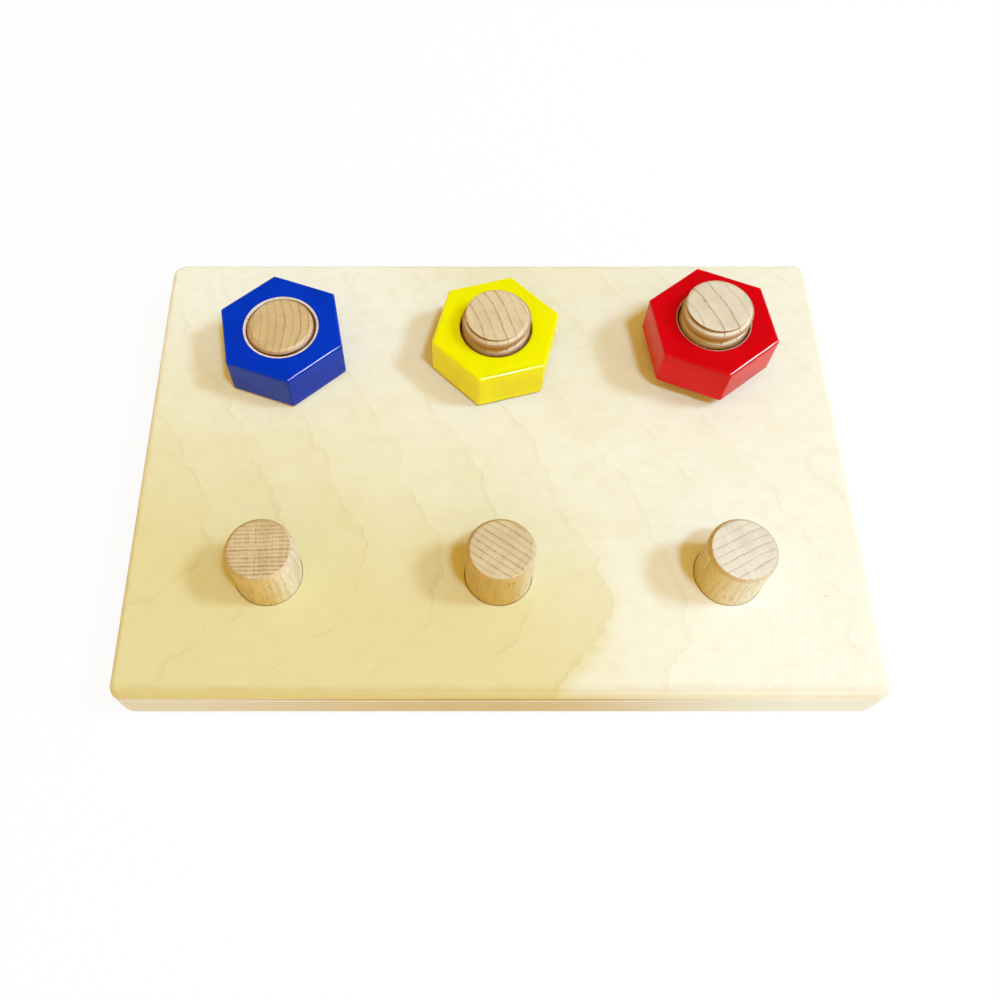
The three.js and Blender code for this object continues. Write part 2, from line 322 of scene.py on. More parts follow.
def dress(obj, material, slot, body, *nodes):
    """Gives a piece its shading and material, and puts it in the place of its CAD nodes. Its slot is not
    used.
    """
    mesh = bmesh.new()
    mesh.from_mesh(obj.data)
    bmesh.ops.remove_doubles(mesh, verts=mesh.verts, dist=WELD_M)
    for face in mesh.faces:
        face.smooth = True
    for edge in mesh.edges:
        edge.smooth = edge.calc_face_angle(0) < SHARP_ANGLE
    mesh.to_mesh(obj.data)
    mesh.free()
    obj.data.materials.clear()
    obj.data.materials.append(material)
    flat = obj.modifiers.new("flat_faces_stay_flat", "WEIGHTED_NORMAL")
    flat.keep_sharp = True
    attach(obj, body)
    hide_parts(*nodes)


def colour(red, green, blue):
    """A display colour from 0 to 255 as the linear one that shaders take."""
    linear = []
    for value in (red, green, blue):
        share = value / 255
        linear.append(share / 12.92 if share <= 0.04045 else ((share + 0.055) / 1.055) ** 2.4)
    return (*linear, 1.0)


def add_node(tree, kind, sockets=None, **settings):
    """A node with its settings. A socket takes a value, or is linked to another node's output."""
    made = tree.nodes.new(kind)
    for key, value in settings.items():
        setattr(made, key, value)
    for key, value in (sockets or {}).items():
        if isinstance(value, bpy.types.NodeSocket):
            tree.links.new(value, made.inputs[key])
        else:
            made.inputs[key].default_value = value
    return made


class Graph:
    """A material's nodes, added one at a time round a Principled shader. Places are in millimetres."""

    def __init__(self, name):
        self.material = bpy.data.materials.new(name)
        self.material.use_nodes = True
        self.tree = self.material.node_tree
        self.shader = self.tree.nodes["Principled BSDF"]
        found = self.node("ShaderNodeTexCoord").outputs
        self.normal = found["Normal"]
        self.place = self.vector("MULTIPLY", found["Object"], (1 / MM,) * 3)
        self.x, self.y, self.z = self.split(self.place)
        self.radius = self.calc("SQRT", self.plus(self.times(self.x, self.x), self.times(self.y, self.y)))

    def node(self, kind, sockets=None, **settings):
        return add_node(self.tree, kind, sockets, **settings)

    def calc(self, operation, *values):
        return self.node("ShaderNodeMath", dict(enumerate(values)), operation=operation).outputs[0]

    def chain(self, operation, values):
        result = values[0]
        for value in values[1:]:
            result = self.calc(operation, result, value)
        return result

    def plus(self, *values):
        return self.chain("ADD", values)

    def times(self, *values):
        return self.chain("MULTIPLY", values)

    def apart(self, first, second):
        """The distance between two values."""
        return self.calc("ABSOLUTE", self.calc("SUBTRACT", first, second))

    def run(self, share, first, last):
        """A value that runs from the number first to the number last."""
        return self.calc("MULTIPLY_ADD", share, last - first, first)

    def blend(self, share, first, last):
        """A value that runs from the output first to the output last."""
        return self.calc("MULTIPLY_ADD", self.calc("SUBTRACT", last, first), share, first)

    def between(self, value, start, end):
        """0 up to start, 1 from end, and smooth in between. End may lie below start."""
        sockets = {"Value": value, "From Min": start, "From Max": end}
        return self.node("ShaderNodeMapRange", sockets, interpolation_type="SMOOTHSTEP").outputs[0]

    def ramp(self, value, stops):
        """A value from stops of place and level, in a straight line between them."""
        made = self.node("ShaderNodeFloatCurve", {"Value": value})
        points = made.mapping.curves[0].points
        while len(points) < len(stops):
            points.new(0.5, 0.5)
        for point, (at, level) in zip(points, stops):
            point.location = (at, level)
            point.handle_type = "VECTOR"
        made.mapping.update()
        return made.outputs[0]

    def vector(self, operation, *values):
        return self.node("ShaderNodeVectorMath", dict(enumerate(values)), operation=operation).outputs[0]

    def split(self, value):
        return self.node("ShaderNodeSeparateXYZ", {0: value}).outputs

    def noise(self, scale, detail=2.0, shift=0.0):
        """Noise from 0 to 1, with a scale per millimetre along each axis."""
        stretched = self.vector("MULTIPLY_ADD", self.place, scale, (shift, -shift, 2 * shift))
        sockets = {"Vector": stretched, "Scale": 1.0, "Detail": detail}
        return self.node("ShaderNodeTexNoise", sockets).outputs["Fac"]

    def swing(self, scale, reach, detail=2.0, shift=0.0):
        """Noise about zero, from minus reach to reach."""
        return self.run(self.noise(scale, detail, shift), -reach, reach)

    def chance(self, number):
        """A value from 0 to 1 that is the same wherever the number is the same."""
        return self.node("ShaderNodeTexWhiteNoise", {"W": number}, noise_dimensions="1D").outputs[0]

    def mix(self, share, first, second):
        return self.node("ShaderNodeMix", {0: share, 6: first, 7: second}, data_type="RGBA").outputs[2]

    def bump(self, height, strength, distance):
        sockets = {"Height": height, "Strength": strength, "Distance": distance * MM}
        self.tree.links.new(self.node("ShaderNodeBump", sockets).outputs[0], self.shader.inputs["Normal"])

    def finish(self, tint, roughness, shine=0.5, metallic=0.0):
        self.tree.links.new(tint, self.shader.inputs["Base Color"])
        self.tree.links.new(roughness, self.shader.inputs["Roughness"])
        self.shader.inputs["Specular IOR Level"].default_value = shine
        self.shader.inputs["Metallic"].default_value = metallic
        return self.material


# Birch plywood. A share says how far a mark goes towards its own colour.
PLY_COUNT = 15
LACQUER_SHINE = 0.1
SMOOTH_LACQUER = 0.44
LACQUER_VARIATION = 0.06
VENEER_PALE = colour(253, 248, 226)
VENEER_DEEP = colour(235, 220, 158)
VENEER_LINE = colour(196, 158, 92)
VENEER_SHADE = colour(218, 192, 106)
ROUND_OVER_TONE = colour(212, 180, 98)
LONG_PLY = colour(232, 214, 160)
CROSS_PLY = colour(200, 166, 98)
# A pale colour for the painted highlight along one ply, and for the long sides' paler ends, which towards the
# right are painted sheen
EDGE_HIGHLIGHT = colour(250, 254, 246)

# The veneer's growth rings are nested arches whose tips point along +X.
ARCH_X = 66.0
ARCH_Y = -79.0
ARCH_AXIS_SLOPE = -0.2
ARCH_BACK_SLOPE = 0.65
ARCH_FRONT_SLOPE = 1.1
ARCH_BLUNTNESS = 24.0
RING_SPACING = 33.0
SMALL_RINGS_PER_RING = 4.0
RING_PROFILE = ((0.0, 0.0), (0.5, 0.1), (0.9, 0.7), (1.0, 1.0))
SMALL_RING_PROFILE = ((0.0, 0.0), (0.9, 0.5), (1.0, 1.0))

# The veneer's tone, from 0, pale, to 1, deep, and how it changes per millimetre along X and Y
INNER_TONE = 0.37
INNER_TONE_X = -0.0022
INNER_TONE_Y = -0.0066
FRONT_TONE = 0.14
OUTER_TONE = 0.42
OUTER_TONE_X = -0.003
OUTER_TONE_Y = 0.001
WIDE_RING_EDGE = 48.0
NARROW_RING_EDGE = 4.0
GRADUAL_SHARE = 0.55
RING_START_TONE = -0.04
RING_END_TONE = 0.05
SMALL_RING_TONE = 0.04
PATCH_TONE = 0.2
FIBRE_TONE = 0.04

# Marks on the veneer
PALE_LINE_SHARE = 0.07
DEEP_LINE_SHARE = 0.15
STREAK_SHARE = 0.05
MOTTLE_SHARE = 0.1
SMALL_RING_SHARE = 0.03
PORE_SHARE = 0.1
PORE_DEPTH = 1.2
SPECK_SHARE = 0.3
# How deep the front round-over's tone goes on the left and on the right: the ply it cuts through, plus
# painted shade that is deeper on the left
LEFT_CUT_PLY_AND_SHADE = 0.55
RIGHT_CUT_PLY_AND_SHADE = 0.25

# Marks on the plies, which are counted from the underside
LOWER_PLY_CONTRAST = 0.35
UPPER_PLY_CONTRAST = 0.95
PLY_TONE = 0.2
PLY_SPECKLE = 0.5
SEAM_SHARE = 0.2
# Where the painted highlight along one ply lies, and how strong it is
HIGHLIGHT_PLY_MIDDLE = PLY_COUNT - 2.5
HIGHLIGHT_PLY_SHARE = 0.65
RIGHT_SHEEN_SHARE = 0.85
LEFT_PALE_SHARE = 0.4
END_PALE_SHARE = 0.2
FACE_PLY_BLEND = 0.05


def veneer_figure(g):
    """How far a place lies along +X past the edge of the wide ring."""
    axis = g.calc("MULTIPLY_ADD", g.x, ARCH_AXIS_SLOPE, ARCH_Y - ARCH_AXIS_SLOPE * ARCH_X)
    beside = g.calc("SUBTRACT", g.y, axis)
    arm = g.calc("SQRT", g.calc("MULTIPLY_ADD", beside, beside, ARCH_BLUNTNESS**2))
    arch = g.calc("MULTIPLY_ADD", arm, (ARCH_FRONT_SLOPE + ARCH_BACK_SLOPE) / 2, g.x)
    arch = g.calc("MULTIPLY_ADD", beside, (ARCH_BACK_SLOPE - ARCH_FRONT_SLOPE) / 2, arch)
    wide_scallop = g.swing(scale=(0.05, 0.07, 0.05), reach=6.0, detail=1.0, shift=7.0)
    fine_scallop = g.swing(scale=(0.2, 0.2, 0.1), reach=3.2, detail=3.0, shift=8.0)
    return g.plus(arch, g.plus(wide_scallop, fine_scallop), -ARCH_X)


def sloping_tone(g, level, per_x, per_y):
    return g.plus(g.times(g.x, per_x), g.calc("MULTIPLY_ADD", g.y, per_y, level))


def veneer_tone(g, figure):
    """Deeper to the left and the front as far as the wide ring, and pale past it."""
    inside = sloping_tone(g, INNER_TONE, INNER_TONE_X, INNER_TONE_Y)
    near_front = g.between(g.y, start=-10.0, end=-80.0)
    inside = g.plus(inside, g.times(near_front, FRONT_TONE))
    outside = sloping_tone(g, OUTER_TONE, OUTER_TONE_X, OUTER_TONE_Y)
    # The ring's edge is clear at the front and spreads out towards the back.
    clear = g.between(g.y, start=30.0, end=-75.0)
    spread = g.run(clear, WIDE_RING_EDGE, NARROW_RING_EDGE)
    sudden = g.between(g.calc("DIVIDE", figure, spread), start=-1.0, end=1.0)
    gradual = g.between(figure, start=-WIDE_RING_EDGE, end=WIDE_RING_EDGE)
    past = g.blend(GRADUAL_SHARE, sudden, gradual)
    return g.blend(past, inside, outside)


def veneer(g, fibre, pores):
    """The colour of the board's faces."""
    figure = veneer_figure(g)
    wander = g.swing(scale=(0.012, 0.02, 0.01), reach=16.0, detail=1.0, shift=3.0)
    rings = g.calc("DIVIDE", g.plus(figure, wander), RING_SPACING)
    ring = g.calc("FRACT", rings)
    deepening = g.run(g.ramp(ring, RING_PROFILE), RING_START_TONE, RING_END_TONE)
    small_ring = g.calc("FRACT", g.times(rings, SMALL_RINGS_PER_RING))
    small = g.ramp(small_ring, SMALL_RING_PROFILE)
    patch = g.swing(scale=(0.03, 0.05, 0.02), reach=1.0, detail=5.0, shift=11.0)
    tone = g.plus(veneer_tone(g, figure), deepening, g.times(small, SMALL_RING_TONE))
    tone = g.plus(tone, g.times(patch, PATCH_TONE), g.times(fibre, FIBRE_TONE))
    wood = g.mix(g.between(tone, start=-0.1, end=1.1), VENEER_PALE, VENEER_DEEP)
    # Each ring ends in a broken line.
    broken = g.between(g.noise(scale=(0.06, 0.06, 0.05), detail=1.0, shift=5.0), start=0.35, end=0.65)
    line = g.times(g.between(ring, start=0.9, end=0.995), broken)
    line_share = g.run(g.between(tone, start=0.4, end=1.0), PALE_LINE_SHARE, DEEP_LINE_SHARE)
    wood = g.mix(g.times(line, line_share), wood, VENEER_LINE)
    streak = g.between(g.noise(scale=(0.05, 0.6, 0.6), detail=4.0, shift=21.0), start=0.45, end=0.75)
    mottle = g.between(g.noise(scale=(0.12, 0.16, 0.1), detail=4.0, shift=25.0), start=0.4, end=0.75)
    shade = g.plus(g.times(streak, STREAK_SHARE), g.times(mottle, MOTTLE_SHARE))
    shade = g.plus(shade, g.times(small, broken, SMALL_RING_SHARE))
    wood = g.mix(shade, wood, VENEER_SHADE)
    wood = g.mix(g.times(pores, PORE_SHARE), wood, VENEER_LINE)
    speck = g.between(g.noise(scale=(0.16, 0.4, 0.4), detail=1.0, shift=15.0), start=0.8, end=0.86)
    wood = g.mix(g.times(speck, SPECK_SHARE), wood, VENEER_LINE)
    # The round-over along the front shows the deeper ply that it cuts through, and painted shade makes it
    # deeper on the left than on the right.
    ragged = g.plus(g.y, g.swing(scale=(0.06, 0.3, 0.3), reach=2.0, detail=3.0, shift=17.0))
    at_front = g.between(ragged, start=board_low.y + 7.0, end=board_low.y + 1.5)
    cut_ply_and_shade = g.run(g.between(g.x, start=0.0, end=120.0), LEFT_CUT_PLY_AND_SHADE, RIGHT_CUT_PLY_AND_SHADE)
    return g.mix(g.times(at_front, cut_ply_and_shade), wood, ROUND_OVER_TONE)


def plies(g, ply):
    """The colour of the board's sides, where the grain crosses from one ply to the next."""
    crossed = g.calc("MODULO", g.calc("FLOOR", ply), 2.0)
    facing_x, facing_y, _ = g.split(g.normal)
    sideways = g.calc("SUBTRACT", g.calc("ABSOLUTE", facing_x), g.calc("ABSOLUTE", facing_y))
    end_on = g.between(sideways, start=-0.15, end=0.15)
    end_grain = g.apart(crossed, end_on)
    upper = g.between(ply, start=PLY_COUNT - 4.0, end=PLY_COUNT - 3.0)
    contrast = g.run(upper, LOWER_PLY_CONTRAST, UPPER_PLY_CONTRAST)
    speckle = g.noise(scale=(1.1, 1.1, 2.5), detail=3.0, shift=2.0)
    deep = g.times(contrast, g.calc("SUBTRACT", end_grain, 0.5))
    deep = g.plus(deep, g.calc("MULTIPLY_ADD", speckle, PLY_SPECKLE, PLY_TONE))
    wood = g.mix(g.between(deep, start=0.0, end=1.0), LONG_PLY, CROSS_PLY)
    from_middle = g.apart(g.calc("FRACT", ply), 0.5)
    seam = g.between(from_middle, start=0.42, end=0.5)
    wood = g.mix(g.times(seam, SEAM_SHARE), wood, CROSS_PLY)
    # A painted highlight runs along the third ply from the top, standing for the lit top of a small step
    # below the round-over.
    highlight_ply = g.between(g.apart(ply, HIGHLIGHT_PLY_MIDDLE), start=0.55, end=0.4)
    wood = g.mix(g.times(highlight_ply, HIGHLIGHT_PLY_SHARE), wood, EDGE_HIGHLIGHT)
    # The long sides turn paler towards both of their ends, and towards the right this is painted sheen.
    right = g.times(g.between(g.x, start=10.0, end=125.0), RIGHT_SHEEN_SHARE)
    left = g.times(g.between(g.x, start=-20.0, end=-140.0), LEFT_PALE_SHARE)
    paler = g.times(g.plus(right, left), g.run(end_on, 1.0, END_PALE_SHARE))
    return g.mix(paler, wood, EDGE_HIGHLIGHT)


def plywood():
    g = Graph("birch_plywood")
    fibre = g.swing(scale=(0.03, 1.6, 1.6), reach=1.0, detail=3.0)
    pores = g.between(g.noise(scale=(0.14, 2.2, 2.2), detail=2.0, shift=9.0), start=0.66, end=0.76)
    ply = g.times(g.z, PLY_COUNT / board_high.z)
    face_start = PLY_COUNT / 2 - 1
    from_core = g.apart(ply, PLY_COUNT / 2)
    on_face = g.between(from_core, start=face_start - FACE_PLY_BLEND, end=face_start + FACE_PLY_BLEND)
    wood = g.mix(on_face, plies(g, ply), veneer(g, fibre, pores))
    g.bump(g.plus(fibre, g.times(pores, -PORE_DEPTH)), strength=0.1, distance=0.03)
    roughness = g.calc("MULTIPLY_ADD", fibre, LACQUER_VARIATION, SMOOTH_LACQUER)
    return g.finish(wood, roughness, shine=LACQUER_SHINE)


# Beech
BOLT_SIDE = colour(190, 149, 94)
PEG_SIDE = colour(228, 202, 126)
DEEP_PEG_SIDE = colour(222, 190, 104)
# The colour of the painted sheen on the sides of pegs
PEG_SIDE_SHEEN = colour(254, 248, 222)
# The colour of the painted shade on the chamfers of pegs
PEG_CHAMFER_SHADE = colour(198, 150, 52)
BEECH_FLECK = colour(146, 92, 34)
BROWN_RING = colour(158, 102, 40)
GREY_RING = colour(164, 126, 82)
PALE_RAY = colour(242, 222, 182)
SMOOTH_BEECH = 0.5
ROUGH_BEECH = 0.7

# End grain reaches to a band inside the edge of a post's end.
BOLT_EDGE_BAND = 0.6
PEG_EDGE_BAND = 1.2
BAND_BLEND = 0.2
RING_LINE = 0.45
WEAKEST_RING = 0.55
STRONGEST_RING = 1.25
FAINT_RING = 0.4
RING_GROOVE = 0.2
SIDE_RING_SHARE = 0.1
RAY_SPACING = 0.95
RAY_PROFILE = ((0.0, 0.0), (0.35, 0.0), (0.5, 1.0), (0.65, 0.0), (1.0, 0.0))
DARK_RAY_SHARE = 0.8
BAND_SHARE = 0.14
BEECH_PORE_SHARE = 0.3
BEECH_STREAK_SHARE = 0.26
FLECK_SHARE = 0.36
BOLT_CHAMFER_SHARE = 0.3
# How deep the painted shade on a peg's chamfer goes on its left and on its right
LEFT_CHAMFER_SHADE = 0.72
RIGHT_CHAMFER_SHADE = 0.52
PATCHY_CHAMFER = 0.65
# Painted shade in the thread grooves: how strong it is, and how far below the crest it starts
GROOVE_SHADE_SHARE = 0.75
GROOVE_SHADE_START_BELOW_CREST = 0.5
SHEEN_WIDTH_SHARE = 1.1

# The figure of each post: the angle across its growth rings, seen from above, their spacing and their bow,
# how clear rings and rays are, and a shift that makes it differ. Pegs get a painted sheen on their sides
# from a share of their radius along X.
# End colours are paler on posts further right: the end grain's own tone with painted sheen.
FIGURES = {
    "blue_bolt": {
        "side_colour": BOLT_SIDE,
        "end_colour_and_sheen": colour(215, 181, 116),
        "ring_colour": BROWN_RING,
        "angle": 2,
        "spacing": 3.4,
        "bow": 0.012,
        "ring_depth": 0.75,
        "ray_depth": 0.3,
        "shift": 1.0,
    },
    "yellow_bolt": {
        "side_colour": BOLT_SIDE,
        "end_colour_and_sheen": colour(226, 202, 152),
        "ring_colour": BROWN_RING,
        "angle": 20,
        "spacing": 4.2,
        "bow": 0.006,
        "ring_depth": 0.75,
        "ray_depth": 0.3,
        "shift": 12.0,
    },
    "red_bolt": {
        "side_colour": BOLT_SIDE,
        "end_colour_and_sheen": colour(226, 210, 178),
        "ring_colour": GREY_RING,
        "angle": 22,
        "spacing": 6.5,
        "bow": 0.004,
        "ring_depth": 0.85,
        "ray_depth": 0.3,
        "shift": 23.0,
    },
    "left_peg": {
        "side_colour": PEG_SIDE,
        "end_colour_and_sheen": colour(217, 187, 126),
        "ring_colour": BROWN_RING,
        "angle": 92,
        "spacing": 1.7,
        "ring_depth": 0.9,
        "ray_depth": 0.7,
        "shift": 34.0,
        "sheen_from": 0.0,
    },
    "middle_peg": {
        "side_colour": DEEP_PEG_SIDE,
        "end_colour_and_sheen": colour(216, 190, 131),
        "ring_colour": BROWN_RING,
        "angle": 55,
        "spacing": 2.7,
        "ring_depth": 0.85,
        "ray_depth": 0.5,
        "shift": 45.0,
        "sheen_from": 0.2,
    },
    "right_peg": {
        "side_colour": PEG_SIDE,
        "end_colour_and_sheen": colour(227, 216, 188),
        "ring_colour": GREY_RING,
        "angle": 115,
        "spacing": 3.4,
        "ring_depth": 0.6,
        "ray_depth": 0.6,
        "shift": 56.0,
        "sheen_from": -0.9,
    },
}


def growth_rings(g, over, along, spacing, bow, shift):
    """Lines from 0 to 1, each with its own strength, which fade here and there."""
    bent = g.calc("MULTIPLY_ADD", g.times(along, along), bow, over)
    wander = g.swing(scale=(0.06, 0.06, 0.01), reach=0.4 * spacing, detail=1.0, shift=shift)
    waver = g.swing(scale=(0.7, 0.7, 0.02), reach=0.35, detail=2.0, shift=shift + 2)
    rings = g.calc("DIVIDE", g.plus(bent, wander, waver, shift), spacing)
    line = RING_LINE / spacing
    # Out of the last line into pale early wood, slowly deeper, and up into the next line
    profile = ((0.0, 0.2), (0.05, 0.0), (0.95 - 1.5 * line, 0.12), (1 - 0.6 * line, 1.0), (1.0, 0.2))
    ring = g.ramp(g.calc("FRACT", rings), profile)
    strength = g.chance(g.calc("FLOOR", rings))
    ring = g.times(ring, g.run(strength, WEAKEST_RING, STRONGEST_RING))
    clear = g.between(g.noise(scale=(0.45, 0.45, 0.02), detail=2.0, shift=shift + 4), start=0.3, end=0.55)
    return g.times(ring, g.run(clear, FAINT_RING, 1.0))


def wood_rays(g, along, shift):
    """Thin broken lines across the growth rings, as one value for pale ones and one for dark ones."""
    sway = g.swing(scale=(0.25, 0.25, 0.01), reach=0.9, detail=1.0, shift=shift + 6)
    rays = g.calc("DIVIDE", g.plus(along, sway), RAY_SPACING)
    line = g.ramp(g.calc("FRACT", rays), RAY_PROFILE)
    kind = g.chance(g.calc("FLOOR", rays))
    broken = g.between(g.noise(scale=(0.22, 0.22, 0.02), detail=1.0, shift=shift + 8), start=0.3, end=0.55)
    ray = g.times(line, broken)
    pale = g.times(ray, g.between(kind, start=0.5, end=0.7))
    dark = g.times(ray, g.between(kind, start=0.5, end=0.3))
    return pale, dark


def beech(
    post,
    side_colour,
    end_colour_and_sheen,
    ring_colour,
    angle,
    spacing,
    ring_depth,
    ray_depth,
    shift,
    bow=0.0,
    sheen_from=None,
):
    g = Graph("beech_" + post)
    is_peg = sheen_from is not None
    turn = math.radians(angle)
    over = g.plus(g.times(g.x, math.cos(turn)), g.times(g.y, math.sin(turn)))
    along = g.plus(g.times(g.x, -math.sin(turn)), g.times(g.y, math.cos(turn)))
    ring = growth_rings(g, over, along, spacing, bow, shift)
    pale_ray, dark_ray = wood_rays(g, along, shift)
    pores = g.noise(scale=(1.7, 1.7, 0.25), detail=3.0, shift=shift)

    # End grain shows on the end and on the inner part of its chamfer.
    tilt = g.calc("ABSOLUTE", g.split(g.normal)[2])
    band = peg_radius - PEG_EDGE_BAND if is_peg else crest_radius - BOLT_EDGE_BAND
    inside_band = g.between(g.radius, start=band, end=band - BAND_BLEND)
    inner = g.times(inside_band, g.between(tilt, start=0.4, end=0.6))
    end = g.calc("MAXIMUM", g.between(tilt, start=0.8, end=0.97), inner)
    side = g.calc("SUBTRACT", 1.0, end)
    # Painted sheen makes the side of a peg paler towards +X, from a point that differs per peg.
    if is_peg:
        sheen_start = sheen_from * peg_radius
        paler = g.between(g.x, start=sheen_start, end=sheen_start + SHEEN_WIDTH_SHARE * peg_radius)
        side_colour = g.mix(paler, side_colour, PEG_SIDE_SHEEN)
    wood = g.mix(end, side_colour, end_colour_and_sheen)
    ring_share = g.times(ring, g.run(end, SIDE_RING_SHARE * ring_depth, ring_depth))
    wood = g.mix(ring_share, wood, ring_colour)
    end_ray = g.times(end, ray_depth)
    wood = g.mix(g.times(dark_ray, end_ray, DARK_RAY_SHARE), wood, ring_colour)
    wood = g.mix(g.times(pale_ray, end_ray), wood, PALE_RAY)
    dark_band = g.between(g.noise(scale=(0.13, 0.13, 0.01), detail=1.0, shift=shift + 12), start=0.4, end=0.7)
    wood = g.mix(g.times(dark_band, BAND_SHARE), wood, ring_colour)
    wood = g.mix(g.times(g.between(pores, start=0.5, end=0.8), BEECH_PORE_SHARE), wood, ring_colour)

    # The chamfer is browner than the rest. On pegs this is painted shade, unevenly so and deeper on the left
    # than on the right.
    chamfer = g.times(g.between(tilt, start=0.3, end=0.6), side)
    if is_peg:
        chamfer_shade = g.run(g.between(g.x, -peg_radius, peg_radius), LEFT_CHAMFER_SHADE, RIGHT_CHAMFER_SHADE)
        patches = g.run(g.between(pores, start=0.3, end=0.6), PATCHY_CHAMFER, 1.0)
        wood = g.mix(g.times(chamfer, g.times(chamfer_shade, patches)), wood, PEG_CHAMFER_SHADE)
    else:
        wood = g.mix(g.times(chamfer, BOLT_CHAMFER_SHARE), wood, BEECH_FLECK)
    streak = g.between(g.noise(scale=(0.6, 0.6, 0.04), detail=3.0, shift=shift + 14), start=0.4, end=0.75)
    wood = g.mix(g.times(streak, side, BEECH_STREAK_SHARE), wood, BEECH_FLECK)
    fleck = g.between(g.noise(scale=(1.4, 1.4, 0.25), detail=2.0, shift=shift + 10), start=0.55, end=0.75)
    wood = g.mix(g.times(fleck, side, FLECK_SHARE), wood, BEECH_FLECK)
    # Thread grooves are darkened with painted shade.
    if not is_peg:
        groove = g.between(g.radius, start=crest_radius - GROOVE_SHADE_START_BELOW_CREST, end=root_radius)
        wood = g.mix(g.times(groove, side, GROOVE_SHADE_SHARE), wood, BEECH_FLECK)
    g.bump(g.plus(pores, g.times(ring, -RING_GROOVE)), strength=0.1, distance=0.05)
    return g.finish(wood, g.run(pores, SMOOTH_BEECH, ROUGH_BEECH))


# Paint, and the bare wood where it stops
PAINT_SHINE = 0.15
SMOOTHEST_PAINT = 0.1
ROUGHEST_PAINT = 0.2
BRUSH_HEIGHT = 2.0
BARE_ROUGHNESS = 0.4
PAINT_FADE_START = 0.1
PAINT_FADE_END = 0.02
RIM_BLEND = 0.05
RIM_PALE = colour(243, 226, 204)
RIM_DEEP = colour(222, 190, 150)
# The bore's wood is far deeper than the rim's bare wood: painted shade inside the bore
SHADED_BORE_PALE = colour(150, 106, 62)
SHADED_BORE_DEEP = colour(104, 66, 34)

# Fresh is the usual colour, thick the one where paint has pooled, and thrown that of the light which the
# paint casts on the wood round it.
PAINTS = {
    "blue": {"fresh": colour(1, 56, 194), "thick": colour(1, 49, 178), "thrown": colour(188, 142, 66)},
    "yellow": {"fresh": colour(251, 244, 1), "thick": colour(246, 235, 1), "thrown": colour(204, 170, 40)},
    "red": {"fresh": colour(225, 1, 16), "thick": colour(212, 1, 11), "thrown": colour(214, 130, 44)},
}


def bare_wood(g, pale, deep):
    grain = g.noise(scale=(0.9, 0.9, 0.2), detail=3.0, shift=1.0)
    return g.mix(g.between(grain, start=0.35, end=0.75), pale, deep)


def gloss_coat(g, name):
    """The colour and the roughness of a nut's paint."""
    pooled = g.noise(scale=(0.05, 0.05, 0.08), detail=2.0)
    peel = g.noise(scale=(0.5, 0.5, 0.5), detail=2.0, shift=3.0)
    brush = g.noise(scale=(0.12, 0.12, 0.12), detail=1.0, shift=6.0)
    g.bump(g.plus(peel, g.times(brush, BRUSH_HEIGHT)), strength=0.3, distance=0.05)
    coat = g.mix(g.between(pooled, start=0.35, end=0.75), PAINTS[name]["fresh"], PAINTS[name]["thick"])
    return coat, g.run(brush, SMOOTHEST_PAINT, ROUGHEST_PAINT)


def paint(name):
    """A nut's gloss paint, which stops at the mouth of the bore."""
    g = Graph("gloss_" + name)
    coat, gloss = gloss_coat(g, name)
    painted = g.between(g.radius, start=mouth_radius - PAINT_FADE_START, end=mouth_radius - PAINT_FADE_END)
    roughness = g.plus(gloss, g.run(painted, BARE_ROUGHNESS, 0.0))
    # Inside the mouth the bare wood carries painted shade.
    tint = g.mix(painted, bare_wood(g, SHADED_BORE_PALE, SHADED_BORE_DEEP), coat)
    throwing = g.node("ShaderNodeLightPath").outputs["Is Diffuse Ray"]
    tint = g.mix(throwing, tint, PAINTS[name]["thrown"])
    return g.finish(tint, roughness, shine=PAINT_SHINE)


def rim_coat(name, rim_width, bare_width):
    """A rim whose inner part is bare wood, and the rest painted."""
    g = Graph(name + "_rim")
    coat, gloss = gloss_coat(g, name)
    bare_radius = mouth_radius - rim_width + bare_width
    ragged = g.swing(scale=(0.6, 0.6, 0.6), reach=0.08, detail=2.0, shift=4.0)
    past_bare = g.plus(g.radius, ragged, -bare_radius)
    painted = g.between(past_bare, start=-RIM_BLEND, end=RIM_BLEND)
    roughness = g.plus(gloss, g.run(painted, BARE_ROUGHNESS, 0.0))
    return g.finish(g.mix(painted, bare_wood(g, RIM_PALE, RIM_DEEP), coat), roughness)


# Zinc plating
ZINC_GREY = colour(186, 188, 192)
ZINC_PALE = colour(214, 214, 212)
SMOOTHEST_ZINC = 0.24
ROUGHEST_ZINC = 0.44


def zinc():
    g = Graph("zinc_plated_steel")
    spangle = g.noise(scale=(0.8, 0.8, 0.8), detail=3.0)
    scratch = g.noise(scale=(0.3, 6.0, 0.3), detail=2.0, shift=2.0)
    tint = g.mix(g.between(spangle, start=0.3, end=0.7), ZINC_GREY, ZINC_PALE)
    g.bump(scratch, strength=0.1, distance=0.02)
    return g.finish(tint, g.run(scratch, SMOOTHEST_ZINC, ROUGHEST_ZINC), metallic=1.0)


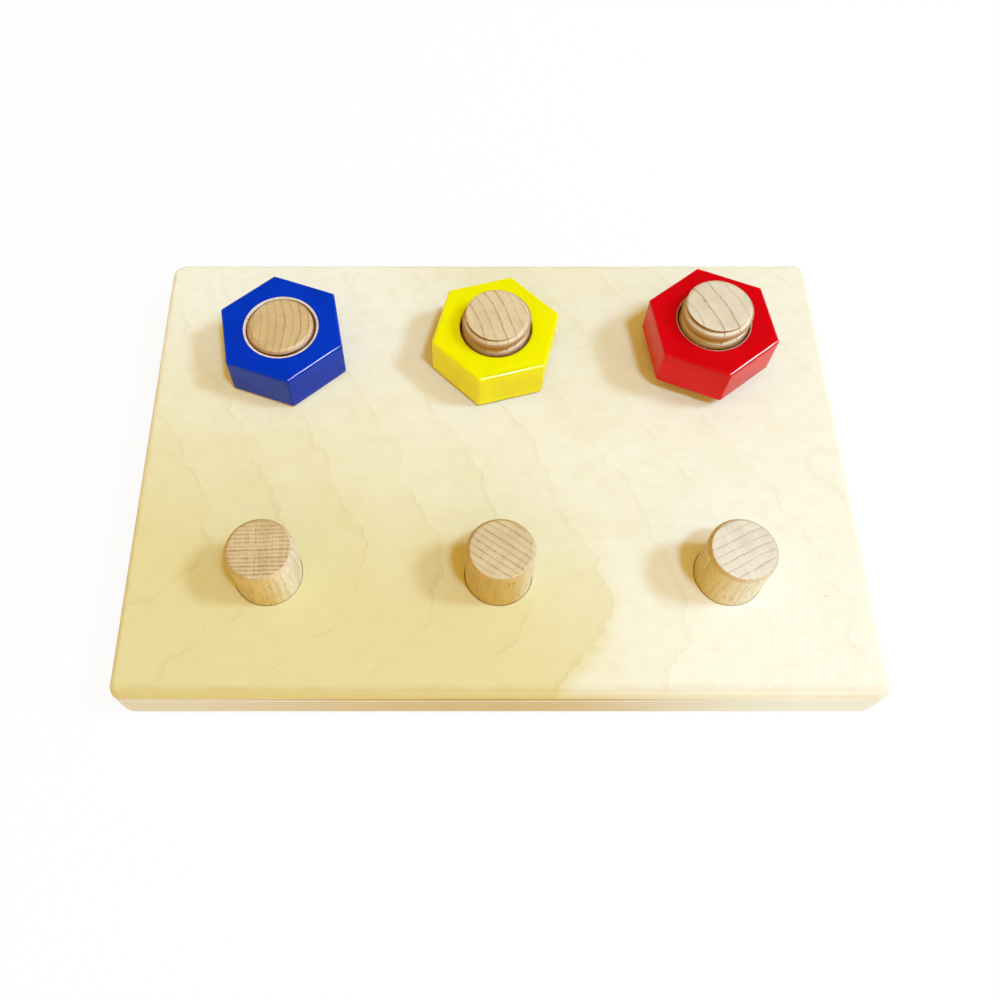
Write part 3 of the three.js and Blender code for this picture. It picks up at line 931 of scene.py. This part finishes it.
def make_board(places, material):
    half = (board_high - board_low) / 2

    def corners(inset):
        x, y = half.x - inset, half.y - inset
        return [Vector((x, y)), Vector((-x, y)), Vector((-x, -y)), Vector((x, -y))]

    board = slab("board", corners, BOARD_CORNER, board_high.z, BOARD_ROUND_OVER, (0, 0, 0))
    screw_hole = SCREW_DIAMETER / 2 + SEAT_GAP
    head_hole = SCREW_HEAD / 2 + SEAT_GAP
    screw_low = box_mm("left_peg_screw")[0].z - board_high.z
    seat = peg_radius + SEAT_GAP
    outline = [
        (0, -board_high.z - OVERCUT),
        (head_hole, -board_high.z - OVERCUT),
        (head_hole, screw_low + SEAT_GAP),
        (screw_hole, screw_low + SCREW_HEAD_HEIGHT + SEAT_GAP),
        (screw_hole, -SEAT_DEPTH),
        (seat, -SEAT_DEPTH),
        (seat, -SEAT_GAP),
        (seat + SEAT_GAP, 0),
        (seat + SEAT_GAP, OVERCUT),
        (0, OVERCUT),
    ]
    for place in places:
        carve(board, lathe("drill", outline, place))
    dress(board, material, "birch_plywood", "board", "base_board")


def make_peg(node, material):
    place = axis_of(node)
    top = box_mm(node)[1].z - place.z
    outline = foot_outline + [
        (peg_radius, top - PEG_TOP_CHAMFER),
        (peg_radius - PEG_TOP_CHAMFER, top),
        (0, top),
    ]
    peg = lathe(node + "_wood", softened(outline), place)
    dress(peg, material, "beech", "board", node)


def make_bolt(node, run_out, material):
    place = axis_of(node)
    top = box_mm(node)[1].z - place.z
    bolt = threaded_rod(node + "_wood", root_radius, crest_radius, 0, top, top, run_out, place)
    beyond = crest_radius + OVERCUT
    chamfer_slope = BOLT_CHAMFER_HEIGHT / BOLT_CHAMFER_WIDTH
    envelope = [
        (0, SEAT_GAP),
        (beyond, SEAT_GAP),
        (beyond, top - BOLT_CHAMFER_HEIGHT - OVERCUT * chamfer_slope),
        (crest_radius - BOLT_CHAMFER_WIDTH, top),
        (0, top),
    ]
    carve(bolt, lathe("envelope", softened(envelope), place), "INTERSECT")
    foot = foot_outline + [(peg_radius, SEAT_GAP), (0, SEAT_GAP)]
    join(bolt, lathe("foot", foot, place))
    dress(bolt, material, "beech", "board", node)


def make_nut(name, run_out, yaw, material):
    place = axis_of(name + "_bolt")
    bolt_top = box_mm(name + "_bolt")[1].z - place.z
    nut_low, nut_high = box_mm(name + "_nut")
    lift = nut_low.z - place.z
    height = nut_high.z - nut_low.z

    def corners(inset):
        reach = (NUT_ACROSS_FLATS / 2 - inset) / math.cos(math.pi / NUT_SIDES)
        angles = [yaw + 2 * math.pi / NUT_SIDES * i for i in range(NUT_SIDES)]
        return [Vector((reach * math.cos(a), reach * math.sin(a))) for a in angles]

    # The block is made on the board, and its mesh is then lifted to the nut's height.
    nut = slab(name + "_nut_wood", corners, NUT_CORNER, height, NUT_EDGE, place)
    for vertex in nut.data.vertices:
        vertex.co.z += lift * MM
    top = lift + height
    crest = crest_radius + THREAD_PLAY
    tap = threaded_rod("tap", root_radius + THREAD_PLAY, crest, lift, top, bolt_top, run_out, place)
    carve(nut, tap)
    step = [
        (0, top - RIM_HEIGHT),
        (mouth_radius, top - RIM_HEIGHT),
        (mouth_radius, top + OVERCUT),
        (0, top + OVERCUT),
    ]
    carve(nut, lathe("step", step, place))
    mouth = [
        (0, lift - OVERCUT),
        (crest + NUT_LOWER_CHAMFER + OVERCUT, lift - OVERCUT),
        (crest, lift + NUT_LOWER_CHAMFER),
        (0, lift + NUT_LOWER_CHAMFER),
    ]
    carve(nut, lathe("mouth", mouth, place))
    dress(nut, material, name + "_paint", name + "_nut_body", name + "_nut")


def make_rim(name, rim_width, slot, material):
    """A nut's rim, with room for the nut to turn round it."""
    place = axis_of(name + "_bolt")
    top = box_mm(name + "_nut")[1].z - place.z
    rim_radius = mouth_radius - rim_width
    outer_radius = mouth_radius - RIM_CLEARANCE
    foot = top - RIM_HEIGHT + RIM_CLEARANCE
    outline = [
        (rim_radius, foot),
        (outer_radius, foot),
        (outer_radius, top),
        (rim_radius + RIM_CHAMFER, top),
        (rim_radius, top - RIM_CHAMFER),
    ]
    rim = lathe(name + "_nut_rim_wood", outline, place, closed=True)
    dress(rim, material, slot, name + "_nut_carrier", name + "_nut_rim")


def make_screw(post, material):
    node = post + "_screw"
    place = axis_of(post)
    low, high = box_mm(node)
    bottom, top = low.z - place.z, high.z - place.z
    outline = [
        (0, bottom),
        (SCREW_HEAD / 2, bottom),
        (SCREW_DIAMETER / 2, bottom + SCREW_HEAD_HEIGHT),
        (SCREW_DIAMETER / 2, top - SCREW_TIP),
        (0, top),
    ]
    screw = lathe(node + "_steel", softened(outline), place, SCREW_SIDES)
    for length, width in ((CROSS_LENGTH, CROSS_WIDTH), (CROSS_WIDTH, CROSS_LENGTH)):
        mouth = rectangle(length, width, bottom - OVERCUT)
        end = rectangle(length * CROSS_NARROWING, width * CROSS_NARROWING, bottom + CROSS_DEPTH)
        carve(screw, loft("slot", [mouth, end], place))
    dress(screw, material, "screw_steel", "board", node)


beech_of = {post: beech(post, **figure) for post, figure in FIGURES.items()}
steel = zinc()
make_board([axis_of(post) for post in FIGURES], plywood())
for post in FIGURES:
    make_screw(post, steel)
for side in PEGS:
    make_peg(side + "_peg", beech_of[side + "_peg"])
for name, details in BOLTS.items():
    run_out = math.radians(details["run_out"])
    rim_width = details["rim_width"]
    make_bolt(name + "_bolt", run_out, beech_of[name + "_bolt"])
    make_nut(name, run_out, math.radians(details["yaw"]), paint(name))
    make_rim(name, rim_width, details["rim_slot"], rim_coat(name, rim_width, details["bare_width"]))


def seen_directly(tree):
    """1 for what the camera sees, also by reflection or through glass, and 0 for light on surfaces."""
    rays = add_node(tree, "ShaderNodeLightPath").outputs
    seen = rays["Is Camera Ray"]
    for kind in ("Is Glossy Ray", "Is Transmission Ray"):
        seen = add_node(tree, "ShaderNodeMath", {0: seen, 1: rays[kind]}, operation="MAXIMUM").outputs[0]
    return seen


# The floor lies just under the board. To the eye it is mostly plain white, and the rest shows shadows.
FLOOR_SIZE = 6000.0
FLOOR_DROP = 0.2
FLOOR_TONE = (0.96, 0.96, 0.96, 1)
FLOOR_ROUGHNESS = 0.9
FLOOR_WHITE_SHARE = 0.86


def make_floor():
    place = (0, 0, -FLOOR_DROP)
    floor = mesh_object("floor", rectangle(FLOOR_SIZE, FLOOR_SIZE, 0), [(0, 1, 2, 3)], place)
    material = bpy.data.materials.new("white_floor")
    material.use_nodes = True
    tree = material.node_tree
    lit = tree.nodes["Principled BSDF"]
    lit.inputs["Base Color"].default_value = FLOOR_TONE
    lit.inputs["Roughness"].default_value = FLOOR_ROUGHNESS
    white = add_node(tree, "ShaderNodeEmission")
    sockets = {0: seen_directly(tree), 1: FLOOR_WHITE_SHARE}
    share = add_node(tree, "ShaderNodeMath", sockets, operation="MULTIPLY")
    sockets = {0: share.outputs[0], 1: lit.outputs[0], 2: white.outputs[0]}
    blend = add_node(tree, "ShaderNodeMixShader", sockets)
    tree.links.new(blend.outputs[0], tree.nodes["Material Output"].inputs["Surface"])
    floor.data.materials.append(material)


make_floor()

# Cool lamps and a warm surround add up to white on open surfaces, and leave shadows warm.
# Distances and sizes of lamps are in metres.
LAMP_TINT = (0.37, 0.62, 1.0)
LAMP_DISTANCE = 6.0
GLINT_SIZE = 0.36
GLINT_LEVEL = 1.1
GLINTS = {
    "blue": (0.418, -0.101, 0.903),
    "yellow": (0.26, -0.155, 0.953),
    "red": (0.707, 0.025, 0.706),
}
WARM_LIGHT = (1.0, 0.69, 0.2)
WHITE = (1, 1, 1)
FRONT_LIGHT = 0.9
BACK_LIGHT = 0.48
SWEEP_END = 0.35
CEILING_START = 0.6
CEILING_LEVEL = 0.05


def make_lamp(name, towards, size, level, tint):
    """A round lamp that lights a surface facing it to the given level."""
    lamp = bpy.data.lights.new(name, "AREA")
    lamp.shape = "DISK"
    lamp.size = size
    lamp.color = tint
    lamp.energy = level * math.pi * math.pi * LAMP_DISTANCE**2
    holder = bpy.data.objects.new(name, lamp)
    direction = Vector(towards).normalized()
    holder.location = direction * LAMP_DISTANCE
    holder.rotation_euler = direction.to_track_quat("Z", "Y").to_euler()
    bpy.context.scene.collection.objects.link(holder)
    return holder


def make_glint(name, towards):
    """A small lamp that shows only as a glint on the edges of a nut."""
    holder = make_lamp(name, towards, GLINT_SIZE, GLINT_LEVEL, WHITE)
    holder.visible_diffuse = False
    holder.data.cycles.max_bounces = 0


def make_world():
    """Warm light, stronger from the front, and to the eye a white sweep under a dim ceiling."""
    world = bpy.data.worlds.new("studio")
    world.use_nodes = True
    tree = world.node_tree
    direction = add_node(tree, "ShaderNodeTexCoord").outputs["Generated"]
    along = add_node(tree, "ShaderNodeSeparateXYZ", {0: direction}).outputs

    def background(tint, axis, start, end, first, last):
        """A background whose strength runs from first to last along an axis of the direction."""
        sockets = {"Value": along[axis], "From Min": start, "From Max": end, "To Min": first, "To Max": last}
        level = add_node(tree, "ShaderNodeMapRange", sockets).outputs[0]
        return add_node(tree, "ShaderNodeBackground", {"Color": (*tint, 1), "Strength": level}).outputs[0]

    light = background(WARM_LIGHT, "Y", -1.0, 1.0, FRONT_LIGHT, BACK_LIGHT)
    sweep = background(WHITE, "Z", SWEEP_END, CEILING_START, 1.0, CEILING_LEVEL)
    blend = add_node(tree, "ShaderNodeMixShader", {0: seen_directly(tree), 1: light, 2: sweep})
    tree.links.new(blend.outputs[0], tree.nodes["World Output"].inputs["Surface"])
    bpy.context.scene.world = world


make_lamp("high_lamp", towards=(0.24, -0.27, 0.93), size=0.8, level=0.5, tint=LAMP_TINT)
make_lamp("right_lamp", towards=(0.66, -0.03, 0.75), size=1.2, level=0.5, tint=LAMP_TINT)
for name, towards in GLINTS.items():
    make_glint(name + "_glint", towards)
make_world()
bpy.context.scene.view_settings.view_transform = "Standard"

# The camera's place is in metres, and its lens and sensor are in millimetres.
CAMERA_PLACE = (-0.02058, -0.20226, 0.38614)
CAMERA_DOWN = math.radians(63.54)
CAMERA_SENSOR = 36
CAMERA_LENS = 35.08
CAMERA_SHIFT_X = 0.054

camera_data = bpy.data.cameras.new("camera")
camera_data.sensor_width = CAMERA_SENSOR
camera_data.lens = CAMERA_LENS
camera_data.shift_x = CAMERA_SHIFT_X
camera = bpy.data.objects.new("camera", camera_data)
camera.location = CAMERA_PLACE
camera.rotation_euler = (math.pi / 2 - CAMERA_DOWN, 0, 0)
bpy.context.scene.collection.objects.link(camera)
bpy.context.scene.camera = camera
